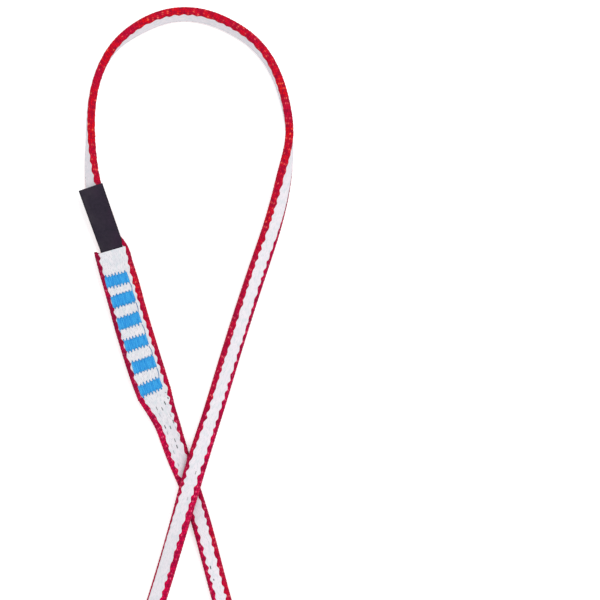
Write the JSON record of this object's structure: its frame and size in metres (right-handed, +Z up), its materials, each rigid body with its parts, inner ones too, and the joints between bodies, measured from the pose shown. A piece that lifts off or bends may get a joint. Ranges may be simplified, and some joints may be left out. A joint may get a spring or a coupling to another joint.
{
  "type": "sewn tape sling",
  "caption": "Loop of narrow woven tape sewn end over end with bar tacks, laid in a figure of eight, with a folded label that lifts at the seam.",
  "frame": {"origin": "on the surface below the middle of the sling's box", "axes": "+Y up the figure of eight towards the labelled lobe, +X to its right, +Z up from the surface"},
  "size_m": [0.1035, 0.4399, 0.009],
  "materials": {
    "white_yarn": "woven",
    "red_yarn": "woven",
    "blue_thread": "satin",
    "label_ribbon": "woven"
  },
  "bodies": {
    "sling": {"tape_body": "white_yarn", "tape_edge_inner": "red_yarn", "tape_edge_outer": "red_yarn", "label_tail": "label_ribbon", "needle_tack_1": "blue_thread", "needle_tack_2": "blue_thread", "needle_tack_3": "blue_thread", "needle_tack_4": "blue_thread", "needle_tack_5": "blue_thread", "needle_tack_6": "blue_thread", "bobbin_tack_1": "blue_thread", "bobbin_tack_2": "blue_thread", "bobbin_tack_3": "blue_thread", "bobbin_tack_4": "blue_thread", "bobbin_tack_5": "blue_thread", "bobbin_tack_6": "blue_thread", "needle_jump_1": "blue_thread", "needle_jump_2": "blue_thread", "needle_jump_3": "blue_thread", "needle_jump_4": "blue_thread", "needle_jump_5": "blue_thread"},
    "label": {"label_flap": "label_ribbon"}
  },
  "joints": [
    {"name": "label_lift", "type": "hinge", "parent": "sling", "child": "label", "pos_m": [-0.03222, 0.12108, 0.00267], "axis": [0.9483, 0.3173, 0], "range_deg": [0, 90]}
  ]
}
